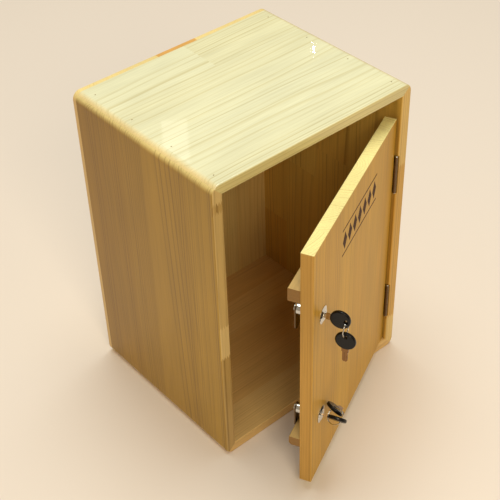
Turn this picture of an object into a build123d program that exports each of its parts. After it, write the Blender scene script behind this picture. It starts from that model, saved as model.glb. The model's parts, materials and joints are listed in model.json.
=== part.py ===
from build123d import *
from math import cos, radians, sin
import os

# Pine box with a posting gap above a hinged, twin-locked door.
# Millimetres. The origin is on the resting face, under the middle of the carcass.
# +Z is up and the door faces -Y. The door is stored ajar.

# Carcass
width = 357.0
depth = 302.0
height = 500.0
carcass_board = 17.0
back_board = 8.0
corner_radius = 13.0
front_easing = 2.0
back_easing = 1.0

# Door
door_board = 18.0
side_gap = 1.5
floor_gap = 1.0
slot_height = 36.5
door_recess = 6.0
door_easing = 1.0
door_ajar = 25.3

# Brads through the mitred corners and the back board
brad_radius = 0.9
brad_sink = 0.3
brad_clearance = 0.02
corner_brad_length = 26.0
corner_brad_lean = 35.0
corner_brad_inset = 20.0
corner_brad_margin = 20.0
corner_brad_count = 4
back_brad_length = 25.0
back_brad_margin = 40.0
back_brad_side_count = 5
back_brad_end_count = 3

# Wood screws
screw_clearance = 0.02

# How far a cutting shape runs past what it cuts
cut_overrun = 1.0

# Butt hinges
hinge_length = 63.5
upper_hinge_drop = 96.5
lower_hinge_z = 102.5
leaf_thickness = 1.2
leaf_width = 16.0
knuckle_radius = 2.8
knuckles = 5
knuckle_gap = 0.3
pin_radius = 1.3
pin_clearance = 0.05
finial_radius = 2.3
finial_height = 1.6
face_clearance = 0.2
knuckle_notch_clearance = 0.3
hinge_screw_radius = 1.5
hinge_screw_head = 2.6
hinge_screw_length = 13.0
hinge_screws = 3
hinge_screw_margin = 9.0

# Battens across the inside of the door
upper_batten_drop = 83.5
upper_batten_height = 21.0
upper_batten_board = 17.0
lower_batten_z = 88.5
lower_batten_height = 16.0
lower_batten_board = 16.0
batten_round = 5.0
batten_easing = 1.0
batten_short = 20.0
batten_screw_radius = 1.8
batten_screw_head = 3.6
batten_screw_bite = 12.0
batten_screws = 3
batten_screw_margin = 60.0

# Keeper blocks that the door closes against and the cams turn behind
keeper_reach = 12.0
keeper_board = 16.0
keeper_height = 44.0
keeper_easing = 1.0
door_stop_gap = 0.5
keeper_screw_radius = 1.7
keeper_screw_head = 3.4
keeper_screw_bite = 11.0
keeper_screw_spacing = 24.0

# Cam locks
lock_inset = 35.5
upper_lock_drop = 127.0
lower_lock_z = 128.5
bezel_radius = 12.7
bezel_rim = 0.8
bezel_height = 2.2
bezel_face_radius = 8.6
barrel_radius = 8.0
barrel_clearance = 0.1
nut_across_flats = 22.0
nut_thickness = 4.0
nut_chamfer = 1.5
plug_radius = 5.6
plug_clearance = 0.05
plug_proud = 0.5
tail_square = 6.0
cam_gap = 0.7
cam_thickness = 2.0
cam_width = 15.0
cam_reach = 35.0
cam_screw_radius = 4.2
cam_screw_height = 2.4
cam_screw_shank = 1.6
cam_screw_depth = 6.0
cam_screw_slot = 0.9

# Keys
key_thickness = 2.2
blade_width = 7.4
blade_length = 17.0
shoulder_width = 10.0
shoulder_length = 5.4
waist_width = 6.0
waist_length = 1.2
tang_width = 8.0
tang_length = 7.0
key_stop = 0.6
keyway_clearance = 0.12
groove_width = 1.6
groove_depth = 0.5
bitting = (1.1, 0.6, 1.4, 0.8)
bitting_pitch = 3.0
bow_length = 28.4
bow_width = 29.0
bow_thickness = 5.4
bow_round = 1.9
bow_hole = 3.2
bow_hole_offset = 8.0

# Split rings
ring_radius = 11.5
ring_wire = 0.8
ring_rest = 0.12

# How the keys lie. Angles turn a ring in the bow's hole, and a spare key on the ring.
# Rests are shares of a wire's play in a hole, across the bow and along the key.
upper_key_angle = 0.0
lower_key_angle = 36.88
lower_ring_angles = (4.65, -11.92, -105.87)
lower_ring_rests = (-0.12, -0.484)
lower_spare_round_angle = 132.42
lower_spare_angles = (0.97, 33.12, -108.5)
lower_spare_rests = (0.267, 0.044)

# Places that follow from the sizes above
front = -depth / 2
frame_back = depth / 2 - back_board
right_inner = width / 2 - carcass_board
left_inner = -right_inner
inner_top = height - carcass_board
door_left = left_inner + side_gap
door_right = right_inner - side_gap
door_width = door_right - door_left
door_bottom = carcass_board + floor_gap
door_top = inner_top - slot_height
door_face = front + door_recess
door_inner = door_face + door_board
pin_x = right_inner - side_gap / 2
pin_y = door_face - knuckle_radius - face_clearance
lock_x = door_left + lock_inset
keeper_front = door_inner + door_stop_gap
keeper_back = keeper_front + keeper_board
cam_front = keeper_back - door_face + cam_gap
cam_back = cam_front + cam_thickness
barrel_back = cam_front - cam_gap
bow_start = bezel_height + plug_proud + key_stop + waist_length + shoulder_length
bow_centre = bow_start + bow_length / 2
bow_hole_z = bow_centre + bow_hole_offset
wire_play = bow_hole - ring_wire
upper_hinge_z = door_top - upper_hinge_drop
upper_batten_z = door_top - upper_batten_drop
upper_lock_z = door_top - upper_lock_drop


def ajar(shape):
    """Turns a piece from the closed door to the stored, open door."""
    return shape.rotate(Axis((pin_x, pin_y, 0), (0, 0, 1)), door_ajar)


def block(x, y, z):
    """A box from its ends along each axis."""
    low = (min(x), min(y), min(z))
    size = (abs(x[1] - x[0]), abs(y[1] - y[0]), abs(z[1] - z[0]))
    return Pos(*low) * Box(*size, align=(Align.MIN, Align.MIN, Align.MIN))


def spread(start, end, count):
    """Evenly spaced places from start to end."""
    return [start + (end - start) * i / (count - 1) for i in range(count)]


def rod(place, radius, length):
    """A cylinder from a place's origin along its +Z."""
    return place * Cylinder(radius, length, align=(Align.CENTER, Align.CENTER, Align.MIN))


def aim(point, direction):
    """A place at a point whose +Z runs along a direction."""
    return Plane(origin=point, z_dir=direction).location


def countersunk(place, radius, head, length, room=0.0):
    """A countersunk screw, or with room its hole: its flat head at the place's origin, driven along +Z."""
    cone = Cone(head + room, radius + room, head - radius, align=(Align.CENTER, Align.CENTER, Align.MIN))
    return place * (cone + rod(Location(), radius + room, length))


def group(shapes):
    """Loose pieces kept together as one sub-part."""
    return Compound([solid for shape in shapes for solid in shape.solids()])


def cut_all(body, tools):
    for tool in tools:
        body = body - tool
    return body


# Carcass

def mitred_frame():
    """The four-sided carcass before it is cut into its boards."""
    outline = RectangleRounded(width, height, corner_radius)
    hole = Rectangle(width - 2 * carcass_board, height - 2 * carcass_board)
    face = Plane(origin=(0, front, height / 2), x_dir=(1, 0, 0), z_dir=(0, 1, 0))
    frame = extrude(face * (outline - hole), frame_back - front)
    edges = frame.edges().filter_by(lambda e: abs(e.center().Y - front) < 0.01)
    return fillet(edges, front_easing)


def mitre_wedge(side):
    """The prism between two mitre planes that holds one board of the frame."""
    w, h, t = width / 2, height / 2, carcass_board
    reach = cut_overrun
    corners = {
        "top": [(-w - reach, h + reach), (w + reach, h + reach), (w - t, h - t), (-w + t, h - t)],
        "bottom": [(-w - reach, -h - reach), (w + reach, -h - reach), (w - t, -h + t), (-w + t, -h + t)],
        "left": [(-w - reach, -h - reach), (-w + t, -h + t), (-w + t, h - t), (-w - reach, h + reach)],
        "right": [(w + reach, -h - reach), (w - t, -h + t), (w - t, h - t), (w + reach, h + reach)],
    }[side]
    face = Plane(origin=(0, front - reach, height / 2), x_dir=(1, 0, 0), z_dir=(0, -1, 0))
    outline = face * make_face(Polyline(*corners, close=True))
    return extrude(outline, -(frame_back - front + 2 * reach))


def corner_brad_places():
    """Each brad leans outwards through a mitre, from the top or the underside."""
    lean = radians(corner_brad_lean)
    top, bottom = [], []
    for y in spread(front + corner_brad_margin, frame_back - corner_brad_margin, corner_brad_count):
        for sign in (-1, 1):
            x = sign * (width / 2 - corner_brad_inset)
            out = sign * sin(lean)
            top.append(aim((x, y, height), (out, 0, -cos(lean))))
            bottom.append(aim((x, y, 0), (out, 0, cos(lean))))
    return top, bottom


def corner_brad(place, low, high):
    """A brad trimmed just under the surface that it was driven through."""
    backed = Pos(0, 0, -2 * brad_radius)
    shaft = rod(place * backed, brad_radius, corner_brad_length + 2 * brad_radius)
    return shaft & block((-width, width), (-depth, depth), (low, high))


def back_brad_places():
    edge = carcass_board / 2
    y = depth / 2
    places = []
    for z in spread(back_brad_margin, height - back_brad_margin, back_brad_side_count):
        for x in (-width / 2 + edge, width / 2 - edge):
            places.append(aim((x, y, z), (0, -1, 0)))
    for x in spread(-width / 2 + 2 * back_brad_margin, width / 2 - 2 * back_brad_margin, back_brad_end_count):
        for z in (edge, height - edge):
            places.append(aim((x, y, z), (0, -1, 0)))
    return places


def back_panel_blank():
    face = Plane(origin=(0, frame_back, height / 2), x_dir=(1, 0, 0), z_dir=(0, 1, 0))
    board = extrude(face * RectangleRounded(width, height, corner_radius), back_board)
    edges = board.edges().filter_by(lambda e: abs(e.center().Y - depth / 2) < 0.01)
    return fillet(edges, back_easing)


# Hinges

def knuckle_segments(z):
    """Ends of each knuckle of a hinge centred at a height."""
    pitch = hinge_length / knuckles
    low = z - hinge_length / 2
    half = knuckle_gap / 2
    ends = []
    for i in range(knuckles):
        bottom = low + i * pitch + (half if i else 0)
        top = low + (i + 1) * pitch - (half if i < knuckles - 1 else 0)
        ends.append((bottom, top))
    return ends


def hinge_leaf(z, side):
    """A leaf with its share of the knuckles; side is +1 on the carcass and -1 on the door."""
    near = side * side_gap / 2
    far = side * (side_gap / 2 + leaf_thickness)
    x = (pin_x + near, pin_x + far)
    plate_start = pin_y + knuckle_radius + knuckle_gap
    plate_end = plate_start + leaf_width
    leaf = block(x, (plate_start, plate_end), (z - hinge_length / 2, z + hinge_length / 2))
    own = 0 if side > 0 else 1
    for low, high in knuckle_segments(z)[own::2]:
        leaf += rod(Pos(pin_x, pin_y, low), knuckle_radius, high - low)
        leaf += block(x, (pin_y + pin_radius, plate_start), (low, high))
    return leaf - rod(Pos(pin_x, pin_y, z - hinge_length), pin_radius + pin_clearance, 2 * hinge_length)


def hinge_pin(z):
    """The pin with a domed end above and below the knuckles."""
    half = hinge_length / 2
    pin = rod(Pos(pin_x, pin_y, z - half), pin_radius, hinge_length)
    dome = Cylinder(finial_radius, finial_height, align=(Align.CENTER, Align.CENTER, Align.MIN))
    dome = fillet(dome.edges().sort_by(Axis.Z)[-1], finial_height * 0.7)
    pin += Pos(pin_x, pin_y, z + half) * dome
    pin += Pos(pin_x, pin_y, z - half) * Rot(180, 0, 0) * dome
    return pin


def hinge_screw_set(z, side, room=0.0):
    x = pin_x + side * side_gap / 2
    y = pin_y + knuckle_radius + knuckle_gap + leaf_width / 2
    half = hinge_length / 2 - hinge_screw_margin
    places = [aim((x, y, k), (side, 0, 0)) for k in spread(z - half, z + half, hinge_screws)]
    return [countersunk(p, hinge_screw_radius, hinge_screw_head, hinge_screw_length, room) for p in places]


def hinge_mortise(z, side):
    """What a leaf and its knuckles take out of the wood."""
    half = hinge_length / 2
    near = pin_x + side * side_gap / 2
    far = near + side * leaf_thickness
    plate_end = pin_y + knuckle_radius + knuckle_gap + leaf_width
    cut = block((near, far), (pin_y, plate_end), (z - half, z + half))
    if side > 0:
        reach = pin_x + knuckle_radius + knuckle_notch_clearance
        back = pin_y + knuckle_radius + knuckle_notch_clearance
        room = half + finial_height + knuckle_notch_clearance
        cut += block((right_inner - cut_overrun, reach), (front - cut_overrun, back), (z - room, z + room))
    return cut


# Door furniture

def batten(z, tall, board, rounded):
    """A batten screwed across the door's inner face, flush with its free edge."""
    end = door_right - batten_short
    bar = block((door_left, end), (door_inner, door_inner + board), (z, z + tall))
    for height_rank, radius in ((0, rounded), (-1, batten_easing)):
        long_edges = bar.edges().filter_by(Axis.X)
        inner = long_edges.filter_by(lambda e: e.center().Y > door_inner + board / 2)
        bar = fillet(inner.sort_by(Axis.Z)[height_rank], radius)
    return bar


def batten_screw_set(z, tall, board, room=0.0):
    y = door_inner + board
    length = board + batten_screw_bite
    xs = spread(door_left + batten_screw_margin, door_right - batten_screw_margin, batten_screws)
    places = [aim((x, y, z + tall / 2), (0, -1, 0)) for x in xs]
    return [countersunk(p, batten_screw_radius, batten_screw_head, length, room) for p in places]


def keeper(z):
    """A block on the left board, behind the door, that stops it and holds the cam."""
    bar = block((left_inner, left_inner + keeper_reach), (keeper_front, keeper_back),
                (z - keeper_height / 2, z + keeper_height / 2))
    edges = bar.edges().filter_by(lambda e: e.center().X > left_inner + keeper_reach - 0.01)
    return fillet(edges, keeper_easing)


def keeper_screw_set(z, room=0.0):
    x = left_inner + keeper_reach
    y = (keeper_front + keeper_back) / 2
    half = keeper_screw_spacing / 2
    places = [aim((x, y, z + k), (-1, 0, 0)) for k in (-half, half)]
    length = keeper_reach + keeper_screw_bite
    return [countersunk(p, keeper_screw_radius, keeper_screw_head, length, room) for p in places]


# Locks: each is made about its own axis, +Z outwards from the door's face and +Y up

def lock_place(z):
    return Plane(origin=(lock_x, door_face, z), x_dir=(1, 0, 0), z_dir=(0, -1, 0)).location


def lock_body():
    """Dished chrome bezel and the barrel behind it, bored for the plug."""
    outline = [
        (0, -barrel_back), (barrel_radius, -barrel_back), (barrel_radius, 0), (bezel_radius, 0),
        (bezel_radius, bezel_rim), (bezel_face_radius, bezel_height), (0, bezel_height),
    ]
    body = revolve(make_face(Plane.XZ * Polyline(*outline, close=True)), Axis.Z)
    bore = rod(Pos(0, 0, -2 * barrel_back), plug_radius + plug_clearance, 3 * barrel_back)
    return body - bore


def lock_nut():
    size = nut_across_flats / 2 / cos(radians(30))
    nut = extrude(Plane.XY * RegularPolygon(size, 6), nut_thickness)
    nut = nut & Cone(size, size - nut_chamfer, nut_thickness, align=(Align.CENTER, Align.CENTER, Align.MIN))
    nut = nut - rod(Pos(0, 0, -cut_overrun), barrel_radius + barrel_clearance / 2, nut_thickness + 2 * cut_overrun)
    return Pos(0, 0, -door_board) * Rot(180, 0, 0) * nut


def keyway():
    """The slot in the plug, with room round the blade."""
    room = keyway_clearance
    deep = blade_length + 2 * room
    top = bezel_height + plug_proud
    slot = Box(key_thickness + 2 * room, blade_width + 2 * room, deep,
               align=(Align.CENTER, Align.CENTER, Align.MAX))
    return Pos(0, 0, top) * slot


def lock_plug(turn):
    """The turning core, with its keyway and the square tail that carries the cam."""
    top = bezel_height + plug_proud
    shoulder = barrel_back + cam_gap / 2
    plug = rod(Pos(0, 0, -shoulder), plug_radius, top + shoulder)
    plug = fillet(plug.edges().sort_by(Axis.Z)[-1], plug_proud * 0.8)
    tail = Box(tail_square, tail_square, cam_back - shoulder, align=(Align.CENTER, Align.CENTER, Align.MIN))
    plug += Pos(0, 0, -cam_back) * tail
    plug -= rod(Pos(0, 0, -cam_back - cut_overrun), cam_screw_shank, cam_screw_depth + cut_overrun)
    return plug - Rot(0, 0, turn) * keyway()


def lock_cam():
    """The flat cam, hanging down when the lock is open."""
    half = cam_width / 2
    arm = Pos(0, -(cam_reach - half) / 2) * Rectangle(cam_width, cam_reach - half)
    ends = Circle(half) + Pos(0, -(cam_reach - half)) * Circle(half)
    plate = extrude(Plane.XY * (arm + ends - Rectangle(tail_square, tail_square)), cam_thickness)
    return Pos(0, 0, -cam_back) * plate


def cam_screw():
    head = rod(Pos(0, 0, -cam_back - cam_screw_height), cam_screw_radius, cam_screw_height)
    head = fillet(head.edges().sort_by(Axis.Z)[0], cam_screw_height / 3)
    for turn in (0, 90):
        slot = Box(cam_screw_slot, 1.3 * cam_screw_radius, cam_screw_height)
        head -= Rot(0, 0, turn) * Pos(0, 0, -cam_back - cam_screw_height) * slot
    return head + rod(Pos(0, 0, -cam_back), cam_screw_shank, cam_screw_depth)


# Keys: made about the lock's axis, with the bow's plane upright

def key_blade():
    """Metal: grooved blade with its bitting, waist, shoulder and the tang in the bow."""
    stop = bezel_height + plug_proud + key_stop
    tip = stop - blade_length
    half = blade_width / 2
    blade = Pos(0, (stop + tip + half) / 2) * Rectangle(blade_width, stop - tip - half)
    blade += Pos(0, tip + half) * Circle(half)
    for i, cut in enumerate(bitting):
        notch = Polygon((-cut, 0), (0, -cut), (cut, 0), (0, cut), align=None)
        blade -= Pos(half, tip + half + i * bitting_pitch) * notch
    waist = Pos(0, stop + waist_length / 2) * Rectangle(waist_width, waist_length)
    shoulder = Pos(0, stop + waist_length + shoulder_length / 2) * Rectangle(shoulder_width, shoulder_length)
    tang = Pos(0, bow_start + tang_length / 2) * Rectangle(tang_width, tang_length)
    flat = extrude(Plane.YZ * (blade + waist + shoulder + tang), key_thickness / 2, both=True)
    groove = Box(groove_depth, groove_width, blade_length, align=(Align.MAX, Align.CENTER, Align.MIN))
    return flat - Pos(key_thickness / 2, 0, tip) * groove


def key_bow():
    """Moulded oval head, holed for the ring and moulded round the tang."""
    outline = Pos(0, bow_centre) * Ellipse(bow_width / 2, bow_length / 2)
    bow = extrude(Plane.YZ * outline, bow_thickness / 2, both=True)
    bow = fillet(bow.edges().filter_by(lambda e: abs(e.center().X) > bow_thickness / 2 - 0.01), bow_round)
    hole = Pos(0, 0, bow_hole_z) * Rot(0, 90, 0) * Cylinder(bow_hole, 2 * bow_thickness)
    return bow - hole - key_blade()


def key_ring():
    """A wire ring whose wire passes through its frame's origin, with its centre along +Y."""
    return Pos(0, ring_radius, 0) * Torus(ring_radius, ring_wire)


def wire_rest():
    """How far above a hole's middle a hanging ring's wire lies."""
    half = bow_thickness / 2
    sag = ring_radius - (ring_radius ** 2 - half ** 2) ** 0.5
    return wire_play - ring_rest - sag


def hung_ring():
    """The ring's frame in the key's frame, when it hangs from the bow's hole."""
    return Pos(0, -wire_rest(), bow_hole_z) * Rot(180, 0, 0)


def hung_spare():
    """The spare key's frame in the ring's frame, when it hangs from the ring's bottom."""
    return round_ring(180) * Rot(180, 0, 0) * spare_from_wire(0, -wire_rest())


def lying_ring():
    """The ring's frame in the lower key's frame, as it was left lying."""
    twist, dip, roll = lower_ring_angles
    across, along = [share * wire_play for share in lower_ring_rests]
    return Pos(0, across, bow_hole_z + along) * Rot(0, 0, twist) * Rot(0, dip, 0) * Rot(roll, 0, 0)


def lying_spare():
    """The spare key's frame in the lower ring's frame, as it was left lying."""
    tip, twist, roll = lower_spare_angles
    across, along = [share * wire_play for share in lower_spare_rests]
    turns = Rot(0, tip, 0) * Rot(0, 0, twist) * Rot(roll, 0, 0)
    return round_ring(lower_spare_round_angle) * turns * spare_from_wire(across, along)


def round_ring(angle):
    """Moves the ring's frame along its wire."""
    return Pos(0, ring_radius, 0) * Rot(0, 0, angle) * Pos(0, -ring_radius, 0)


def spare_from_wire(across, along):
    """A key whose hole is held by the wire at the frame's origin."""
    return Rot(90, 0, 0) * Pos(0, across, along - bow_hole_z)


# Pieces

def carcass_nodes():
    frame = mitred_frame()
    top_places, bottom_places = corner_brad_places()
    top_brads = [corner_brad(p, 0, height - brad_sink) for p in top_places]
    bottom_brads = [corner_brad(p, brad_sink, height) for p in bottom_places]
    back_places = back_brad_places()
    sunk = Pos(0, 0, brad_sink)
    back_brads = [rod(p * sunk, brad_radius, back_brad_length) for p in back_places]
    proud = Pos(0, 0, -2 * brad_radius)
    hole_radius = brad_radius + brad_clearance
    corner_hole = corner_brad_length + 2 * brad_radius
    holes = [rod(p * proud, hole_radius, corner_hole) for p in top_places + bottom_places]
    back_holes = [rod(p, hole_radius, back_brad_length + brad_sink) for p in back_places]
    nodes = {}
    for side in ("top", "bottom", "left", "right"):
        nodes[side + "_panel"] = cut_all(frame & mitre_wedge(side), holes + back_holes)
    nodes["back_panel"] = cut_all(back_panel_blank(), back_holes)
    nodes["top_corner_brads"] = group(top_brads)
    nodes["bottom_corner_brads"] = group(bottom_brads)
    nodes["back_brads"] = group(back_brads)
    frame_screws = []
    for name, z in (("upper", upper_hinge_z), ("lower", lower_hinge_z)):
        holes = hinge_screw_set(z, 1, screw_clearance)
        nodes["right_panel"] = cut_all(nodes["right_panel"], [hinge_mortise(z, 1)] + holes)
        nodes[name + "_hinge_frame_leaf"] = cut_all(hinge_leaf(z, 1), holes)
        nodes[name + "_hinge_pin"] = hinge_pin(z)
        frame_screws += hinge_screw_set(z, 1)
    nodes["hinge_frame_screws"] = group(frame_screws)
    keeper_screws = []
    for name, z in (("upper", upper_lock_z), ("lower", lower_lock_z)):
        holes = keeper_screw_set(z, screw_clearance)
        nodes["left_panel"] = cut_all(nodes["left_panel"], holes)
        nodes[name + "_keeper"] = cut_all(keeper(z), holes)
        keeper_screws += keeper_screw_set(z)
    nodes["keeper_screws"] = group(keeper_screws)
    return nodes


def door_nodes():
    nodes = {}
    panel = block((door_left, door_right), (door_face, door_inner), (door_bottom, door_top))
    panel = fillet(panel.edges(), door_easing)
    door_screws, batten_screw_group = [], []
    for name, z in (("upper", upper_hinge_z), ("lower", lower_hinge_z)):
        holes = hinge_screw_set(z, -1, screw_clearance)
        panel = cut_all(panel, [hinge_mortise(z, -1)] + holes)
        nodes[name + "_hinge_door_leaf"] = cut_all(hinge_leaf(z, -1), holes)
        door_screws += hinge_screw_set(z, -1)
    sizes = (("upper", upper_batten_z, upper_batten_height, upper_batten_board, batten_easing),
             ("lower", lower_batten_z, lower_batten_height, lower_batten_board, batten_round))
    for name, z, tall, board, rounded in sizes:
        holes = batten_screw_set(z, tall, board, screw_clearance)
        nodes[name + "_batten"] = cut_all(batten(z, tall, board, rounded), holes)
        panel = cut_all(panel, holes)
        batten_screw_group += batten_screw_set(z, tall, board)
    for z in (upper_lock_z, lower_lock_z):
        through = Pos(0, 0, -door_board - cut_overrun)
        panel -= lock_place(z) * rod(through, barrel_radius + barrel_clearance, door_board + 2 * cut_overrun)
    nodes["door_panel"] = panel
    nodes["hinge_door_screws"] = group(door_screws)
    nodes["batten_screws"] = group(batten_screw_group)
    return {name: ajar(shape) for name, shape in nodes.items()}


def lock_nodes(name, z, angle, ring_frame, spare_frame):
    """One lock with its key, ring and spare key."""
    place = lock_place(z)
    in_lock = place * Rot(0, 0, angle)
    on_ring = in_lock * ring_frame
    spare = on_ring * spare_frame
    nodes = {
        "lock_body": place * lock_body(),
        "lock_nut": place * lock_nut(),
        "lock_plug": place * lock_plug(angle),
        "lock_cam": place * lock_cam(),
        "cam_screw": place * cam_screw(),
        "key_blade": in_lock * key_blade(),
        "key_bow": in_lock * key_bow(),
        "key_ring": on_ring * key_ring(),
        "spare_key_blade": spare * key_blade(),
        "spare_key_bow": spare * key_bow(),
    }
    return {name + "_" + part: ajar(shape) for part, shape in nodes.items()}


def all_nodes():
    nodes = carcass_nodes()
    nodes.update(door_nodes())
    nodes.update(lock_nodes("upper", upper_lock_z, upper_key_angle, hung_ring(), hung_spare()))
    nodes.update(lock_nodes("lower", lower_lock_z, lower_key_angle, lying_ring(), lying_spare()))
    return nodes


def main():
    os.makedirs("parts", exist_ok=True)
    for name, shape in all_nodes().items():
        export_step(shape, "parts/" + name + ".step")
        print(name, len(shape.solids()), round(sum(s.volume for s in shape.solids()), 1))


main()
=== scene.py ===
# %% [markdown]
# # A pine tender box, dressed in Blender
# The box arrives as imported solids: boards, hinges, locks and keys, each at its real size. Blender
# doesn't move or resize them. It gives them wood, lacquer and metal, adds the small things that solids
# leave plain, and sets up a camera and light like those of the photograph.

# %% Load the frame
import json
import math
import random

import bmesh
import bpy
import numpy as np
from mathutils import Matrix, Vector


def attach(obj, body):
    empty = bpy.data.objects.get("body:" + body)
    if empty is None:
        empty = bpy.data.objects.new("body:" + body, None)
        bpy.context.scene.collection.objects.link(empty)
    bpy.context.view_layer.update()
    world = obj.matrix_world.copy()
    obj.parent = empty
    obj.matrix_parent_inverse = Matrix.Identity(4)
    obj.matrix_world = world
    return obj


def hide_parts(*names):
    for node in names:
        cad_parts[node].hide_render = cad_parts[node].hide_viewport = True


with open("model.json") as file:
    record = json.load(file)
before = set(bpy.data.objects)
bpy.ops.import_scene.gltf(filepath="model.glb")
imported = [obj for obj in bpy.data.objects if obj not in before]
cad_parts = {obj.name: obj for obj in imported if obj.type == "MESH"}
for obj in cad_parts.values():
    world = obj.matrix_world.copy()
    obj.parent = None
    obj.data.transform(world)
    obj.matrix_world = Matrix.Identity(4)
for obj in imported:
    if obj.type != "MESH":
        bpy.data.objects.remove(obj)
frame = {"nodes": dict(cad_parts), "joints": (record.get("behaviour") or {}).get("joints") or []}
nodes = frame["nodes"]
joints = {joint["name"]: joint for joint in frame["joints"]}
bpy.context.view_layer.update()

# %% [markdown]
# ## Where the door stands
# The door is stored ajar. Its hinge joint says where the pin is and how far the door is from shut, so
# a pattern or mark on the door can be laid out along the door's own width, height and thickness.

# %% The door's own axes
MM = 0.001
X, Y, Z = Vector((1, 0, 0)), Vector((0, 1, 0)), Vector((0, 0, 1))
swing = joints["door_swing"]
ajar = math.radians(-swing["range_deg"][0])
pin = Vector((swing["pos_m"][0], swing["pos_m"][1], 0))
door_turn = Matrix.Translation(pin) @ Matrix.Rotation(ajar, 4, "Z") @ Matrix.Translation(-pin)
to_free_edge = door_turn.to_3x3() @ -X
out_of_door = door_turn.to_3x3() @ -Y
print("door ajar by", round(math.degrees(ajar), 1), "degrees")

# %% [markdown]
# ## Two small helpers
# Colours are picked as sRGB hex values, as a colour picker shows them, but shaders work in linear
# light, so one function converts them. The other adds a shader node, sets its fields and links its
# inputs, which keeps the long wood recipe readable.

# %% Colour and node helpers


def linear(code):
    """An sRGB hex colour as linear RGBA."""
    parts = [int(code[i:i + 2], 16) / 255 for i in (1, 3, 5)]
    parts = [c / 12.92 if c <= 0.04045 else ((c + 0.055) / 1.055) ** 2.4 for c in parts]
    return (*parts, 1.0)


def add(tree, kind, inputs=None, **settings):
    """A new node: settings are its fields, inputs are values, or nodes and sockets to link from."""
    node = tree.nodes.new(kind)
    for name, value in settings.items():
        setattr(node, name, value)
    for name, value in (inputs or {}).items():
        if isinstance(value, bpy.types.Node):
            value = next(socket for socket in value.outputs if socket.enabled)
        if isinstance(value, bpy.types.NodeSocket):
            tree.links.new(value, node.inputs[name])
        else:
            node.inputs[name].default_value = value
    return node


def new_material(name):
    """A material with an empty tree."""
    material = bpy.data.materials.new(name)
    material.use_nodes = True
    material.node_tree.nodes.clear()
    return material, material.node_tree


def finish(material, *names):
    """Gives CAD nodes one material."""
    for name in names:
        nodes[name].data.materials.clear()
        nodes[name].data.materials.append(material)
    print(material.name, "on", ", ".join(names))


# %% [markdown]
# ## Camera
# The photograph was taken from above and to the left with a longish lens. These numbers come from
# matching the box's straight edges. The camera leans about two degrees, so its axes are given whole
# instead of being aimed at a point.

# %% Camera
camera_place = (-0.84322, -1.01769, 1.31730)
camera_right = (0.7540199, -0.6563603, -0.0253986)
camera_up = (0.4370123, 0.4724170, 0.7654034)
camera_back = (-0.4903817, -0.5882289, 0.6430494)
camera_data = bpy.data.cameras.new("camera")
camera_data.sensor_width = 36.0
camera_data.lens = 80.66
camera = bpy.data.objects.new("camera", camera_data)
bpy.context.collection.objects.link(camera)
axes = Matrix((camera_right, camera_up, camera_back)).transposed().to_4x4()
camera.matrix_world = Matrix.Translation(camera_place) @ axes
bpy.context.scene.camera = camera
bpy.context.scene.view_settings.view_transform = "Standard"
print("camera", round(camera_data.lens, 2), "mm")

# %% [markdown]
# ## Floor
# The object stands on a plain pale floor with matt paint. It has no pattern of its own, so all that it
# gives the picture is the soft shadow and the light it throws back on the sides.

# %% Floor
# Matt emulsion paint, rolled on: it scatters light evenly, so no mirror image lies beside the shadow.
FLOOR_REACH = 6.0
floor_paint, tree = new_material("matt_painted_floor")
shader = add(tree, "ShaderNodeBsdfPrincipled", {
    "Base Color": linear("#E8DED5"), "Roughness": 0.9, "Specular IOR Level": 0.1})
add(tree, "ShaderNodeOutputMaterial", {"Surface": shader})
corners = [(x * FLOOR_REACH, y * FLOOR_REACH, 0) for x, y in ((-1, -1), (1, -1), (1, 1), (-1, 1))]
floor_mesh = bpy.data.meshes.new("floor")
floor_mesh.from_pydata(corners, [], [(0, 1, 2, 3)])
floor_mesh.materials.append(floor_paint)
floor = bpy.data.objects.new("floor", floor_mesh)
bpy.context.collection.objects.link(floor)
print("floor reaches", FLOOR_REACH, "m each way")

# %% [markdown]
# ## Light
# A wide lamp overhead, a little behind and to the right, makes the top bright and leaves the left side
# and the inside darker. A weaker one beside the camera lights the door and the left side, and a dim warm
# room fills the shadows. Two small lamps on the far side are there only to be mirrored in the top's
# lacquer: one gives the soft patch of a window, the other a bright point.

# %% Lights


def lamp(name, place, target, size, watts, colour):
    """A rectangular lamp that points at a target."""
    data = bpy.data.lights.new(name, "AREA")
    data.shape = "RECTANGLE"
    data.size, data.size_y = size
    data.energy = watts
    data.color = linear(colour)[:3]
    thing = bpy.data.objects.new(name, data)
    thing.location = place
    thing.rotation_mode = "QUATERNION"
    thing.rotation_quaternion = (Vector(target) - Vector(place)).to_track_quat("-Z", "Y")
    bpy.context.collection.objects.link(thing)


room = bpy.data.worlds.new("dim_warm_room")
room.use_nodes = True
room.node_tree.nodes["Background"].inputs["Color"].default_value = linear("#FFE8C8")
room.node_tree.nodes["Background"].inputs["Strength"].default_value = 0.42
bpy.context.scene.world = room
lamp("overhead", (0.4, 0.5, 4.0), (0, 0, 0.3), (2.4, 2.4), 104, "#F8FFFA")
lamp("beside_camera", (-0.95, -1.9, 1.9), (0, 0, 0.2), (0.8, 0.8), 24, "#FFEFD2")
lamp("mirrored_glint", (1.344, 1.255, 1.496), (0.142, 0.005, 0.5), (0.003, 0.02), 0.01, "#FFFFFF")
lamp("mirrored_window", (1.05, 1.64, 1.91), (-0.135, -0.05, 0.5), (0.09, 0.15), 0.045, "#FFFFF4")
print("lamps:", ", ".join(light.name for light in bpy.data.lights))

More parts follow.
